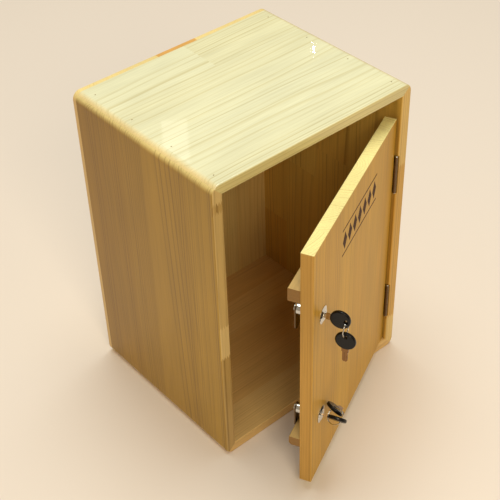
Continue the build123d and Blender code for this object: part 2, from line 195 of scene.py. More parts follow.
# %% [markdown]
# ## How a pine board is built up
# The boards are edge-glued pine: long strips, each from another tree, joined end to end with small
# fingers. A photograph of wood wrapped on a box shows the wrapping at its corners. Instead each strip
# here is cut from a solid log in the recipe: growth rings are circles round a pith that lies somewhere
# beside the strip, so the faces show long grain, the edges follow on, and the ends show arcs.
#
# A strip is described by three numbers from 0 to 1: its tone, how far to the side its pith lies, and
# how deep. A board lists its strips from one edge to the other, and a strip may be cut into lengths.

# %% Wood sizes
RING_SPACING = 3.8 * MM
FINGER_PITCH = 4.2 * MM
FINGER_LENGTH = 6.0 * MM
PITH_SIDE = 260 * MM
PITH_NEAR, PITH_FAR = 12 * MM, 150 * MM

# %% [markdown]
# The photograph shows little of the right side, so a seeded dice cuts its strips. Their widths and
# lengths are those that edge-glued panels usually have.

# %% Strips by dice
STRIP_WIDTHS = (42, 74)
FIRST_CUTS = (40, 300)
CUT_LENGTHS = (220, 420)
PAST_THE_END = 300


def random_strips(seed, low, high, start, end):
    """Strips for a board that the photograph hardly shows, in millimetres."""
    dice = random.Random(seed)
    strips, edge = [], low
    while edge < high:
        edge += dice.uniform(*STRIP_WIDTHS)
        lengths, cut = [], start + dice.uniform(*FIRST_CUTS)
        while cut < end + PAST_THE_END:
            lengths.append((cut, (dice.random(), dice.random(), dice.random())))
            cut += dice.uniform(*CUT_LENGTHS)
        strips.append((edge, lengths))
    return strips


# %% [markdown]
# A colour ramp with constant steps turns a distance into a strip's three numbers, carried in red, green
# and blue. The cuts between lengths go zigzag through the board's thickness, as its fingers do.

# %% Strips to shader nodes


def steps(tree, distance, low, high, marks):
    """A stepped ramp over a distance in millimetres; marks are (end, colour), in order."""
    span = high - low
    scaled = add(tree, "ShaderNodeMapRange", {"Value": distance, "From Min": low * MM, "From Max": high * MM})
    node = add(tree, "ShaderNodeValToRGB", {"Fac": scaled})
    ramp = node.color_ramp
    ramp.interpolation = "CONSTANT"
    ramp.elements.remove(ramp.elements[1])
    ramp.elements[0].color = (*marks[0][1], 1)
    for (end, _), (_, colour) in zip(marks, marks[1:]):
        if end < high:
            ramp.elements.new(max(0.0, (end - low) / span)).color = (*colour, 1)
    return node


def strip_numbers(tree, place, strips, box):
    """Each point's strip, as a colour of its three numbers; box is the board's extent in millimetres."""
    along, across, through = place
    start, end = box[2:]
    wave = add(tree, "ShaderNodeMath", {0: through, 1: FINGER_PITCH / 2}, operation="PINGPONG")
    fingered = add(tree, "ShaderNodeMath", {0: wave, 1: 2 * FINGER_LENGTH / FINGER_PITCH, 2: along},
                   operation="MULTIPLY_ADD")
    result = steps(tree, fingered, start, end, strips[0][1])
    for (edge, _), (_, lengths) in zip(strips, strips[1:]):
        past = add(tree, "ShaderNodeMath", {0: across, 1: edge * MM}, operation="GREATER_THAN")
        own = steps(tree, fingered, start, end, lengths)
        result = add(tree, "ShaderNodeMix", {"Factor": past, 6: result, 7: own}, data_type="RGBA")
    return result


# %% [markdown]
# ## Growth rings
# The distance to the pith, made uneven by slow noise, is divided by the ring spacing. Within a ring the
# wood goes from pale early wood to a dark late line that ends sharply. Real rings are finer than this,
# about 1 to 3 mm apart, and would blur away at this image size, so they are drawn nearly 4 mm apart.
# Noise along the count of rings crowds some together and spreads others, as dry and wet years do, and
# more noise gives each ring its own strength.

# %% Ring lines
BEND_LENGTH, BEND_WIDTH = 667 * MM, 125 * MM
RING_WANDER = 18 * MM
CROWDING = 1.6
CROWDS_PER_RING = 0.35
CHANGES_PER_RING = 0.31
# Each pair is a place within a ring, from 0 to 1, and how dark the wood is there.
LINE_SHAPE = ((0.0, 0.05), (0.6, 0.14), (0.88, 1.0), (1.0, 0.05))


def stretched(tree, place, length, width):
    """Coordinates for noise whose features have this length along the grain and this width across it."""
    scaled = [add(tree, "ShaderNodeMath", {0: distance, 1: 1 / size}, operation="MULTIPLY")
              for distance, size in zip(place, (length, width, width))]
    return add(tree, "ShaderNodeCombineXYZ", dict(zip("XYZ", scaled)))


def pith_distance(tree, place, side, depth):
    """How far each point lies from the middle of its strip's tree, looking along the grain."""
    pith_side = add(tree, "ShaderNodeMapRange", {"Value": side, "To Min": -PITH_SIDE, "To Max": PITH_SIDE})
    pith_depth = add(tree, "ShaderNodeMapRange", {"Value": depth, "To Min": PITH_NEAR, "To Max": PITH_FAR})
    x = add(tree, "ShaderNodeMath", {0: place[1], 1: pith_side}, operation="SUBTRACT")
    y = add(tree, "ShaderNodeMath", {0: place[2], 1: pith_depth}, operation="ADD")
    flat = add(tree, "ShaderNodeCombineXYZ", {"X": x, "Y": y})
    return add(tree, "ShaderNodeVectorMath", {0: flat}, operation="LENGTH").outputs["Value"]


def late_wood(tree, phase):
    """The dark line of each ring, 0 to 1; a ring's own strength stays the same all round it."""
    within = add(tree, "ShaderNodeMath", {0: phase}, operation="FRACT")
    line = add(tree, "ShaderNodeValToRGB", {"Fac": within})
    shape = line.color_ramp.elements
    shape.remove(shape[1])
    shape[0].color = (*3 * LINE_SHAPE[0][1:], 1)
    for position, darkness in LINE_SHAPE[1:]:
        shape.new(position).color = (darkness, darkness, darkness, 1)
    ring = add(tree, "ShaderNodeMath", {0: phase}, operation="FLOOR")
    own = add(tree, "ShaderNodeTexNoise", {"W": ring, "Scale": CHANGES_PER_RING, "Detail": 2.0},
              noise_dimensions="1D")
    strength = add(tree, "ShaderNodeMapRange", {"Value": own, "From Min": 0.35, "From Max": 0.68,
                                                "To Min": 0.12, "To Max": 1.0})
    return add(tree, "ShaderNodeMath", {0: line, 1: strength}, operation="MULTIPLY")


def ring_lines(tree, place, numbers):
    """The strip's tone, the noise that bends its rings, and its dark late wood, 0 to 1."""
    parts = add(tree, "ShaderNodeSeparateColor", {"Color": numbers})
    tone, side, depth = (parts.outputs[i] for i in range(3))
    bends = stretched(tree, place, BEND_LENGTH, BEND_WIDTH)
    wander = add(tree, "ShaderNodeTexNoise", {"Vector": bends, "W": side, "Scale": 1.0, "Detail": 2.0},
                 noise_dimensions="4D")
    radius = pith_distance(tree, place, side, depth)
    uneven = add(tree, "ShaderNodeMath", {0: wander, 1: RING_WANDER, 2: radius}, operation="MULTIPLY_ADD")
    count = add(tree, "ShaderNodeMath", {0: uneven, 1: RING_SPACING}, operation="DIVIDE")
    crowd = add(tree, "ShaderNodeTexNoise", {"W": count, "Scale": CROWDS_PER_RING, "Detail": 1.0},
                noise_dimensions="1D")
    phase = add(tree, "ShaderNodeMath", {0: crowd, 1: CROWDING, 2: count}, operation="MULTIPLY_ADD")
    return tone, wander, late_wood(tree, phase)


# %% [markdown]
# ## Veins
# Some trees lay down a few hard dark rings in a row, which the eye finds at once on a pale board. They
# are listed one by one: each is a narrow peak in a colour ramp across the board. The peaks wander with the
# rings and drift sideways as they climb, because a strip is rarely sawn quite along the grain.

# %% Vein lines
VEIN_WIDTH = 1.3 * MM
VEIN_DRIFT = 0.05
VEIN_WANDER = 12 * MM


def vein_lines(tree, place, wander, marks, low, high):
    """Dark veins, 0 to 1; marks are (place in mm at the foot of the board, strength)."""
    drifted = add(tree, "ShaderNodeMath", {0: place[0], 1: -VEIN_DRIFT, 2: place[1]},
                  operation="MULTIPLY_ADD")
    bent = add(tree, "ShaderNodeMath", {0: wander, 1: VEIN_WANDER, 2: drifted}, operation="MULTIPLY_ADD")
    scaled = add(tree, "ShaderNodeMapRange", {"Value": bent, "From Min": low * MM, "From Max": high * MM})
    node = add(tree, "ShaderNodeValToRGB", {"Fac": scaled})
    ramp = node.color_ramp
    ramp.elements[0].color = ramp.elements[1].color = (0, 0, 0, 1)
    flank = VEIN_WIDTH / MM / (high - low)
    for foot, strength in marks:
        spot = (foot - low) / (high - low)
        for shift, value in ((-flank, 0), (0, strength), (flank, 0)):
            ramp.elements.new(spot + shift).color = (value, value, value, 1)
    return node


# %% [markdown]
# ## Faces, edges and ends
# A board has three kinds of surface, and lacquer colours each in its own way. The narrow long edges are
# planed last and have a colour of their own. Cut ends drink the most lacquer, which hides their rings a
# little, also where a corner is rounded across the grain. Heartwood drinks hardly any, so a strip of it
# The direction that a surface faces tells which kind it is. On the sides and the door the ends face up,
# and their pale colour there is painted light from above.

# %% Kinds of surface
EDGE_FACING = (0.5, 0.95)
END_FACING = (0.05, 0.6)
END_SHARE = 0.8
END_LINES = 0.5
HEARTWOOD_TONE = (0.85, 0.95)


def facing(tree, normal, axis, low, high):
    """How much a surface faces along an axis, either way: 0 below low and 1 above high."""
    cosine = add(tree, "ShaderNodeVectorMath", {0: normal, 1: tuple(axis)}, operation="DOT_PRODUCT")
    size = add(tree, "ShaderNodeMath", {0: cosine.outputs["Value"]}, operation="ABSOLUTE")
    return add(tree, "ShaderNodeMapRange", {"Value": size, "From Min": low, "From Max": high})


def board_colour(tree, look, tone, edge, end):
    """The wood between its ring lines; a strip's tone goes from pale to warm."""
    pale, warm, edges, ends = (linear(look[kind]) for kind in ("pale", "warm", "edges", "ends"))
    face = add(tree, "ShaderNodeMix", {"Factor": tone, 6: pale, 7: warm}, data_type="RGBA")
    planed = add(tree, "ShaderNodeMix", {"Factor": tone, 6: edges, 7: warm}, data_type="RGBA")
    wood = add(tree, "ShaderNodeMix", {"Factor": edge, 6: face, 7: planed}, data_type="RGBA")
    return add(tree, "ShaderNodeMix", {"Factor": end, 6: wood, 7: ends}, data_type="RGBA")


# %% [markdown]
# ## Under the lacquer
# Clear gloss lacquer, sprayed on: a dull wood base with a smooth coat over it. The coat gives the sharp
# reflections and the wood its colour. Fine fibres shade the wood a little, and slow clouds keep large
# faces from looking printed. Real fibres are too fine to show here, so they are drawn 2 mm wide.

# %% Lacquered surface
CLOUD_LENGTH, CLOUD_WIDTH = 200 * MM, 62.5 * MM
FIBRE_LENGTH, FIBRE_WIDTH = 71.4 * MM, 2.083 * MM
WOOD_RELIEF, COAT_RELIEF = 0.15 * MM, 0.1 * MM


def lacquered(tree, wood, place, rings, coat):
    """Shades the wood with fibres and clouds, and lays a coat over it."""
    cloud = add(tree, "ShaderNodeTexNoise", {
        "Vector": stretched(tree, place, CLOUD_LENGTH, CLOUD_WIDTH), "Scale": 1.0})
    fibre = add(tree, "ShaderNodeTexNoise", {
        "Vector": stretched(tree, place, FIBRE_LENGTH, FIBRE_WIDTH), "Scale": 1.0, "Detail": 3.0})
    light = add(tree, "ShaderNodeMapRange", {"Value": fibre, "From Min": 0.3, "From Max": 0.7,
                                             "To Min": 0.92, "To Max": 1.05})
    drift = add(tree, "ShaderNodeMapRange", {"Value": cloud, "From Min": 0.3, "From Max": 0.7,
                                             "To Min": 0.93, "To Max": 1.06})
    light = add(tree, "ShaderNodeMath", {0: light, 1: drift}, operation="MULTIPLY")
    shaded = add(tree, "ShaderNodeVectorMath", {0: wood, "Scale": light}, operation="SCALE")
    height = add(tree, "ShaderNodeMath", {0: fibre, 1: rings}, operation="ADD")
    bump = add(tree, "ShaderNodeBump", {"Strength": 0.25, "Distance": WOOD_RELIEF, "Height": height})
    coat_bump = add(tree, "ShaderNodeBump", {"Strength": 0.05, "Distance": COAT_RELIEF, "Height": height})
    return add(tree, "ShaderNodeBsdfPrincipled", {
        "Base Color": shaded, "Roughness": 0.45, "IOR": 1.5, "Normal": bump, "Specular IOR Level": 0.3,
        "Coat Weight": coat, "Coat Roughness": 0.03, "Coat IOR": 1.5, "Coat Normal": coat_bump})


# %% [markdown]
# ## The whole board
# One function puts the recipe together. It takes the board's three directions, its strips, its extent
# and its look: the colours, how strong the ring lines are and how thick the coat is.

# %% Pine material
COMMON_PINE = {"pale": "#E3C281", "warm": "#CC9A55", "deep": "#B08345", "ends": "#CF9148",
               "edges": "#DDBB78", "lines": 0.5, "coat": 0.35}


def pine(name, axes, strips, box, look, origin=(0, 0, 0), veins=()):
    """Lacquered pine. The axes run along the grain, across the board and through its thickness."""
    look = {**COMMON_PINE, **look}
    material, tree = new_material(name)
    points = add(tree, "ShaderNodeTexCoord").outputs
    local = add(tree, "ShaderNodeVectorMath", {0: points["Object"], 1: tuple(origin)}, operation="SUBTRACT")
    place = [add(tree, "ShaderNodeVectorMath", {0: local, 1: tuple(axis)}, operation="DOT_PRODUCT")
             .outputs["Value"] for axis in axes]
    tone, wander, rings = ring_lines(tree, place, strip_numbers(tree, place, strips, box))
    edge = facing(tree, points["Normal"], axes[1], *EDGE_FACING)
    end = facing(tree, points["Normal"], axes[0], *END_FACING)
    # How much of the end colour each surface takes, none on heartwood; where the ends face up, that pale
    # colour is painted light.
    end_colour_share = add(tree, "ShaderNodeMapRange", {
        "Value": tone, "From Min": HEARTWOOD_TONE[0], "From Max": HEARTWOOD_TONE[1],
        "To Min": END_SHARE, "To Max": 0.0})
    end = add(tree, "ShaderNodeMath", {0: end, 1: end_colour_share}, operation="MULTIPLY")
    lines = add(tree, "ShaderNodeMath", {0: rings, 1: look["lines"]}, operation="MULTIPLY")
    if veins:
        dark = vein_lines(tree, place, wander, veins, box[0], box[1])
        lines = add(tree, "ShaderNodeMath", {0: lines, 1: dark}, operation="MAXIMUM")
    fade = add(tree, "ShaderNodeMapRange", {"Value": end, "To Min": 1.0, "To Max": END_LINES})
    lines = add(tree, "ShaderNodeMath", {0: lines, 1: fade}, operation="MULTIPLY")
    wood = add(tree, "ShaderNodeMix", {"Factor": lines, 6: board_colour(tree, look, tone, edge, end),
                                       7: linear(look["deep"])}, data_type="RGBA")
    shader = lacquered(tree, wood, place, rings, look["coat"])
    add(tree, "ShaderNodeOutputMaterial", {"Surface": shader})
    return material


# %% [markdown]
# ## Which way each board's grain runs
# On the top and bottom the grain runs from side to side. On the sides, the back and the door it runs
# up and down. The strips of the top, of the left side's front edge and of the back's top edge are set
# from the photograph. The other boards get strips that look likely, the right side's by dice.

# %% Top board
# Each strip is (its far edge in mm, its lengths), and each length is (its far end in mm, three numbers).
lying = (-151, 151, -180, 180)
top_strips = [
    (-105, [(999, (0.30, 0.96, 0.10))]),
    (-62, [(999, (0.12, 0.03, 0.12))]),
    (-22, [(999, (0.05, 0.98, 0.08))]),
    (22, [(999, (0.25, 0.02, 0.10))]),
    (67, [(999, (0.42, 0.99, 0.12))]),
    (999, [(11, (0.10, 0.90, 0.08)), (999, (0.62, 0.01, 0.15))]),
]
# The top's colours are paler and cooler than the other boards' partly because it faces the overhead lamp:
# painted light.
top_painted_light_look = {"pale": "#E4E5C4", "warm": "#DDDAB2", "deep": "#BCAE70", "ends": "#E8CC88", "edges": "#DCCB80",
            "lines": 0.7, "coat": 1.0}
finish(pine("lacquered_pine_top_painted_light", (X, Y, Z), top_strips, lying, top_painted_light_look), "top_panel")

# %% Left side
upright = (-160, 160, 0, 500)
left_strips = [
    (-148.5, [(205, (0.55, 0.6, 0.4)), (262, (0.0, 0.97, 0.5)), (460, (0.30, 0.9, 0.3)),
              (474, (0.55, 0.95, 0.6)), (999, (0.1, 0.9, 0.4))]),
    (-98, [(999, (0.30, 0.97, 0.25))]),
    (-66, [(999, (0.42, 0.06, 0.40))]),
    (-4, [(999, (0.44, 0.44, 0.0))]),
    (46, [(999, (0.56, 0.95, 0.5))]),
    (96, [(999, (0.74, 0.05, 0.2))]),
    (999, [(999, (0.84, 0.9, 0.3))]),
]
# The left side's faces are darker and browner than the other boards' partly because that side stands in
# shade: painted shade. Its pale ends, at the rounded top, are painted light from above.
left_side_shaded_look = {"pale": "#BC9632", "warm": "#9C7420", "deep": "#6E4E18", "ends": "#F8E6A0",
             "edges": "#DDC284", "lines": 0.75, "coat": 0.2}
left_veins = [(-106, 0.5), (-92, 0.6), (-83, 0.95), (-74, 0.7), (-62, 0.95), (-52, 0.7), (24, 0.5),
              (60, 0.4)]
left_pine = pine("lacquered_pine_left_painted_shade", (Z, Y, X), left_strips, upright, left_side_shaded_look, veins=left_veins)
finish(left_pine, "left_panel")

# %% Right side and bottom
# The right side keeps the left side's pale ends, painted light from above, and has paler faces of its own.
right_look = {**left_side_shaded_look, "pale": "#E2BC5C", "warm": "#CFA045", "deep": "#94702C", "edges": "#EDD68F"}
right_strips = random_strips(4, -151, 151, 0, 500)
finish(pine("lacquered_pine_right", (Z, Y, X), right_strips, upright, right_look), "right_panel")
bottom_strips = [
    (-92, [(999, (0.10, 0.95, 0.3))]),
    (-30, [(999, (0.45, 0.05, 0.4))]),
    (28, [(999, (0.55, 0.9, 0.2))]),
    (90, [(999, (0.35, 0.1, 0.5))]),
    (999, [(999, (0.60, 0.95, 0.3))]),
]
finish(pine("lacquered_pine_bottom", (X, Y, Z), bottom_strips, lying, {"coat": 0.2}), "bottom_panel")

# %% Back, keepers and battens
back_strips = [
    (-110, [(999, (0.10, 0.9, 0.4))]),
    (-34, [(999, (0.25, 0.1, 0.5))]),
    (37, [(999, (1.0, 0.5, 0.2))]),
    (98, [(999, (0.15, 0.05, 0.3))]),
    (999, [(999, (0.30, 0.95, 0.6))]),
]
back_look = {"pale": "#E6CC84", "warm": "#D8A458", "deep": "#B98B45", "ends": "#E8D493", "coat": 0.2}
finish(pine("lacquered_pine_back", (Z, X, Y), back_strips, (-180, 180, 0, 500), back_look), "back_panel")
keeper_strips = [(999, [(999, (0.3, 0.4, 0.3))])]
finish(pine("lacquered_pine_keeper", (Z, Y, X), keeper_strips, upright, {}), "upper_keeper", "lower_keeper")
batten_strips = [(200, [(999, (0.5, 0.6, 0.1))]), (999, [(999, (0.6, 0.3, 0.2))])]
# The battens' faces are darker than the other boards' because they stand in shade: painted shade.
batten_shaded_look = {"pale": "#AE8634", "warm": "#98702A", "ends": "#86602A", "edges": "#E6CE90", "coat": 0.2}
batten_pine = pine("lacquered_pine_batten_painted_shade", (to_free_edge, Z, out_of_door), batten_strips, (0, 500, -10, 330),
                   batten_shaded_look, origin=pin)
finish(batten_pine, "upper_batten", "lower_batten")

# %% Door
door_strips = [
    (52, [(999, (0.55, 0.85, 0.3))]),
    (108, [(999, (0.25, 0.2, 0.4))]),
    (165, [(999, (0.45, 0.75, 0.15))]),
    (222, [(999, (0.15, 0.3, 0.35))]),
    (274, [(999, (0.5, 0.9, 0.2))]),
    (999, [(999, (0.45, 1.0, 0.75))]),
]
# The door's pale end colour, on its top end that faces the overhead lamp, is painted light.
door_look = {"pale": "#D2A532", "warm": "#C08F26", "deep": "#946A1A", "ends": "#FAF4AE",
             "edges": "#C89E58", "lines": 0.7, "coat": 0.05}
door_pine = pine("lacquered_pine_door", (Z, to_free_edge, out_of_door), door_strips, (0, 330, 0, 500),
                 door_look, origin=pin)
finish(door_pine, "door_panel")

# %% [markdown]
# ## Metal and plastic
# Polished metal is mostly what it reflects, so each plating needs only a colour and a roughness. Faint
# handling marks, about 1.4 mm across, make the roughness vary a little, or the metal would look wet.
# The key heads are moulded plastic. The dark steel and the spare keys' brass are coloured brown as painted
# reflection of the wood around them.

# %% Metals
MARK_SIZE = 1.429 * MM
MARK_STRENGTH = 0.04


def metal(name, colour, roughness):
    """Plated or polished metal whose roughness varies a little, as handling leaves it."""
    material, tree = new_material(name)
    point = add(tree, "ShaderNodeTexCoord").outputs["Object"]
    noise = add(tree, "ShaderNodeTexNoise", {"Vector": point, "Scale": 1 / MARK_SIZE, "Detail": 3.0})
    rough = add(tree, "ShaderNodeMapRange", {"Value": noise, "To Min": roughness - MARK_STRENGTH,
                                             "To Max": roughness + MARK_STRENGTH})
    shader = add(tree, "ShaderNodeBsdfPrincipled", {
        "Base Color": linear(colour), "Metallic": 1.0, "Roughness": rough})
    add(tree, "ShaderNodeOutputMaterial", {"Surface": shader})
    return material


# Chrome plated on a polished casting: neutral and hard, it mirrors the room almost sharply.
chrome = metal("chrome_plate", "#CFCFCC", 0.11)
# Nickel plated on stamped brass: warmer than chrome, and a little dull from use.
key_nickel = metal("nickel_plated_brass", "#B8A180", 0.16)
# Stamped brass coloured dark brown, as painted reflection of the wood around it, with a soft highlight.
painted_reflection_brass = metal("brass_with_painted_wood_reflection", "#8C6844", 0.22)
# Zinc plated in a barrel: pale grey with a broad soft shine.
zinc = metal("zinc_plated_steel", "#BDBDB8", 0.28)
# Rolled steel coloured dark brown, as painted reflection of the wood around it.
painted_reflection_steel = metal("bronzed_steel", "#6F5A42", 0.3)
# Drawn steel wire, driven in and lacquered over: small dull dots.
brad_steel = metal("plain_steel_brads", "#8A7A5E", 0.5)

# %% Black moulded plastic
# ABS from a lightly eroded mould: black, with a low sheen that fine pores break up. They are drawn half
# a millimetre wide, because real ones are too fine to show.
PORE_SIZE = 0.5556 * MM
PORE_DEPTH = 0.05 * MM
black_plastic, tree = new_material("black_abs_moulding")
point = add(tree, "ShaderNodeTexCoord").outputs["Object"]
pores = add(tree, "ShaderNodeTexNoise", {"Vector": point, "Scale": 1 / PORE_SIZE, "Detail": 2.0})
bump = add(tree, "ShaderNodeBump", {"Strength": 0.2, "Distance": PORE_DEPTH, "Height": pores})
shader = add(tree, "ShaderNodeBsdfPrincipled", {
    "Base Color": linear("#08080A"), "Roughness": 0.24, "IOR": 1.53, "Specular IOR Level": 0.25,
    "Normal": bump})
add(tree, "ShaderNodeOutputMaterial", {"Surface": shader})

# %% Metal and plastic on the hardware
for level in ("upper", "lower"):
    finish(chrome, f"{level}_lock_body", f"{level}_lock_nut", f"{level}_lock_plug", f"{level}_key_ring")
    finish(painted_reflection_steel, f"{level}_lock_cam")
    finish(zinc, f"{level}_cam_screw")
    finish(key_nickel, f"{level}_key_blade")
    finish(painted_reflection_brass, f"{level}_spare_key_blade")
    finish(black_plastic, f"{level}_key_bow", f"{level}_spare_key_bow")
    finish(painted_reflection_steel, f"{level}_hinge_frame_leaf", f"{level}_hinge_door_leaf")
    finish(chrome, f"{level}_hinge_pin")
finish(painted_reflection_steel, "hinge_frame_screws", "hinge_door_screws")
finish(zinc, "keeper_screws", "batten_screws")
finish(brad_steel, "top_corner_brads", "bottom_corner_brads", "back_brads")

# %% [markdown]
# ## Making repeated shapes with Geometry Nodes
# Screws, wound rings and rows of small shapes all follow a rule, so a node tree makes them from a few
# named sizes. One function starts a tree with its inputs. Another runs it on a start mesh and keeps the
# result as an ordinary mesh, which is what a piece needs before it may ride on a body.

# %% Tree helpers


def new_tree(name, sizes):
    """A Geometry Nodes tree with a named input for each size; returns it and its group input node."""
    tree = bpy.data.node_groups.new(name, "GeometryNodeTree")
    tree.interface.new_socket("Geometry", in_out="INPUT", socket_type="NodeSocketGeometry")
    tree.interface.new_socket("Geometry", in_out="OUTPUT", socket_type="NodeSocketGeometry")
    for label, value in sizes.items():
        kind = "NodeSocketInt" if isinstance(value, int) else "NodeSocketFloat"
        tree.interface.new_socket(label, in_out="INPUT", socket_type=kind).default_value = value
    return tree, add(tree, "NodeGroupInput").outputs


def close_tree(tree, shape, material):
    """Ends a tree: real geometry, its material, the output."""
    real = add(tree, "GeometryNodeRealizeInstances", {"Geometry": shape})
    dressed = add(tree, "GeometryNodeSetMaterial", {"Geometry": real, "Material": material})
    add(tree, "NodeGroupOutput", {"Geometry": dressed})


def grown(name, tree, sizes, start, place=None):
    """The plain mesh that a tree makes from a start mesh."""
    piece = bpy.data.objects.new(name, start)
    bpy.context.collection.objects.link(piece)
    modifier = piece.modifiers.new("tree", "NODES")
    modifier.node_group = tree
    sockets = {item.name: item.identifier for item in tree.interface.items_tree}
    for label, value in sizes.items():
        modifier[sockets[label]] = value
    mesh = bpy.data.meshes.new_from_object(piece.evaluated_get(bpy.context.evaluated_depsgraph_get()))
    piece.modifiers.clear()
    piece.data = mesh
    measured = [max(v.co[i] for v in mesh.vertices) - min(v.co[i] for v in mesh.vertices) for i in range(3)]
    print(name, "has", len(mesh.polygons), "faces and measures", [round(m / MM, 2) for m in measured], "mm")
    if place:
        mesh.transform(place)
    return piece


# %% [markdown]
# ## Split rings
# A split ring is flat spring wire wound twice, so that keys can be threaded between its turns. The solid
# is a plain hoop, because it only has to hang and touch. Here a spiral curve with a slight rise gets a
# flat profile with rounded corners, which shows the two turns and their loose ends.

# %% Split ring tree
RING_RADIUS = 11.5 * MM
RING_TURNS = 2.0
RING_RISE = 1.24 * MM
WIRE_WIDTH = 1.3 * MM
WIRE_THICKNESS = 0.6 * MM
WIRE_CORNER = 0.2 * MM
ring_tree, sizes = new_tree("split_ring", {"Radius": RING_RADIUS, "Wire Width": WIRE_WIDTH,
                                           "Turns": RING_TURNS, "Wire Thickness": WIRE_THICKNESS,
                                           "Rise": RING_RISE})
spiral = add(ring_tree, "GeometryNodeCurveSpiral", {
    "Resolution": 64, "Rotations": sizes["Turns"], "Start Radius": sizes["Radius"],
    "End Radius": sizes["Radius"], "Height": sizes["Rise"]})
spiral = add(ring_tree, "GeometryNodeSetCurveNormal", {"Curve": spiral}, mode="Z_UP")
profile = add(ring_tree, "GeometryNodeCurvePrimitiveQuadrilateral", {
    "Width": sizes["Wire Width"], "Height": sizes["Wire Thickness"]})
profile = add(ring_tree, "GeometryNodeFilletCurve", {"Curve": profile, "Radius": WIRE_CORNER, "Count": 3},
              mode="POLY")
coil = add(ring_tree, "GeometryNodeCurveToMesh", {
    "Curve": spiral, "Profile Curve": profile, "Fill Caps": True})
close_tree(ring_tree, coil, chrome)

# %% [markdown]
# Where does the coil go? The solid hoop's own points tell: their mean is the middle, and the direction
# in which they spread least is the axis.

# %% Split rings on their bodies


def hoop_place(name, rise):
    """Where a solid hoop lies: its centre, with Z along its axis, lowered by half the coil's rise."""
    places = np.unique([[round(c, 7) for c in v.co] for v in nodes[name].data.vertices], axis=0)
    centre = places.mean(axis=0)
    axis = Vector(np.linalg.svd(places - centre)[2][2])
    turn = axis.to_track_quat("Z", "Y").to_matrix().to_4x4()
    return Matrix.Translation(Vector(centre)) @ turn @ Matrix.Translation((0, 0, -rise / 2))


for level in ("upper", "lower"):
    hoop = f"{level}_key_ring"
    coil = grown(f"{level}_split_ring", ring_tree, {"Turns": RING_TURNS}, bpy.data.meshes.new(hoop),
                 hoop_place(hoop, RING_RISE))
    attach(coil, f"{level}_ring")
    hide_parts(hoop)

# %% [markdown]
# ## Screws with a cross recess
# The solids' screws are plain countersunk shapes. Each real one has a cross recess for the driver, and
# its place and direction are read from its solid: loose parts are told apart by walking along their
# edges, a part's longest direction is its axis, and its wider end is the head.

# %% Find the screws


def screw_places(name):
    """Head centre and outward direction of each screw in a node, with its head radius and length."""
    solid = bmesh.new()
    solid.from_mesh(nodes[name].data)
    bmesh.ops.remove_doubles(solid, verts=solid.verts, dist=1e-7)
    seen, found = set(), []
    for start in solid.verts:
        if start in seen:
            continue
        seen.add(start)
        group = [start]
        for point in group:
            near = [edge.other_vert(point) for edge in point.link_edges]
            fresh = [other for other in near if other not in seen]
            seen.update(fresh)
            group += fresh
        places = np.array([point.co for point in group])
        middle = places.mean(axis=0)
        axis = np.linalg.svd(places - middle)[2][0]
        along = (places - middle) @ axis
        spread = np.linalg.norm(places - middle - np.outer(along, axis), axis=1)
        if along[spread.argmax()] < 0:
            axis, along = -axis, -along
        found.append((middle + axis * along.max(), axis, spread.max(), np.ptp(along)))
    solid.free()
    return found


# %% [markdown]
# The tree makes one screw with its head's face at the origin: a cone for the head with two crossed bars
# cut out of it, and a slim cone for the shank. It puts one at each start point, turned outwards.

# %% Screw tree
# Shares of the head's radius. A bar is centred on the head's face, so only its lower half cuts.
RECESS_LENGTH, RECESS_WIDTH = 1.15, 0.24
TIP_RADIUS = 0.3 * MM
screw_tree, sizes = new_tree("cross_recess_screw", {
    "Head Radius": 3.0 * MM, "Shank Radius": 1.6 * MM, "Length": 13.0 * MM, "Recess": 1.0 * MM})
head_depth = add(screw_tree, "ShaderNodeMath", {0: sizes["Head Radius"], 1: sizes["Shank Radius"]},
                 operation="SUBTRACT")
head = add(screw_tree, "GeometryNodeMeshCone", {
    "Vertices": 32, "Radius Top": sizes["Head Radius"], "Radius Bottom": sizes["Shank Radius"],
    "Depth": head_depth})
below = add(screw_tree, "ShaderNodeMath", {0: head_depth, 1: -1.0}, operation="MULTIPLY")
head = add(screw_tree, "GeometryNodeTransform", {
    "Geometry": head, "Translation": add(screw_tree, "ShaderNodeCombineXYZ", {"Z": below})})
shank_length = add(screw_tree, "ShaderNodeMath", {0: sizes["Length"], 1: head_depth}, operation="SUBTRACT")
shank = add(screw_tree, "GeometryNodeMeshCone", {
    "Vertices": 24, "Radius Top": sizes["Shank Radius"], "Radius Bottom": TIP_RADIUS, "Depth": shank_length})
tip = add(screw_tree, "ShaderNodeMath", {0: sizes["Length"], 1: -1.0}, operation="MULTIPLY")
shank = add(screw_tree, "GeometryNodeTransform", {
    "Geometry": shank, "Translation": add(screw_tree, "ShaderNodeCombineXYZ", {"Z": tip})})

# %% Cross recess
bar_length = add(screw_tree, "ShaderNodeMath", {0: sizes["Head Radius"], 1: RECESS_LENGTH},
                 operation="MULTIPLY")
bar_width = add(screw_tree, "ShaderNodeMath", {0: sizes["Head Radius"], 1: RECESS_WIDTH},
                operation="MULTIPLY")
bar_depth = add(screw_tree, "ShaderNodeMath", {0: sizes["Recess"], 1: 2.0}, operation="MULTIPLY")
recessed = add(screw_tree, "GeometryNodeMeshBoolean", {"Mesh 1": head}, operation="DIFFERENCE")
for order in ("XYZ", "YXZ"):
    bar_size = add(screw_tree, "ShaderNodeCombineXYZ", dict(zip(order, (bar_length, bar_width, bar_depth))))
    bar = add(screw_tree, "GeometryNodeMeshCube", {"Size": bar_size})
    screw_tree.links.new(bar.outputs["Mesh"], recessed.inputs["Mesh 2"])

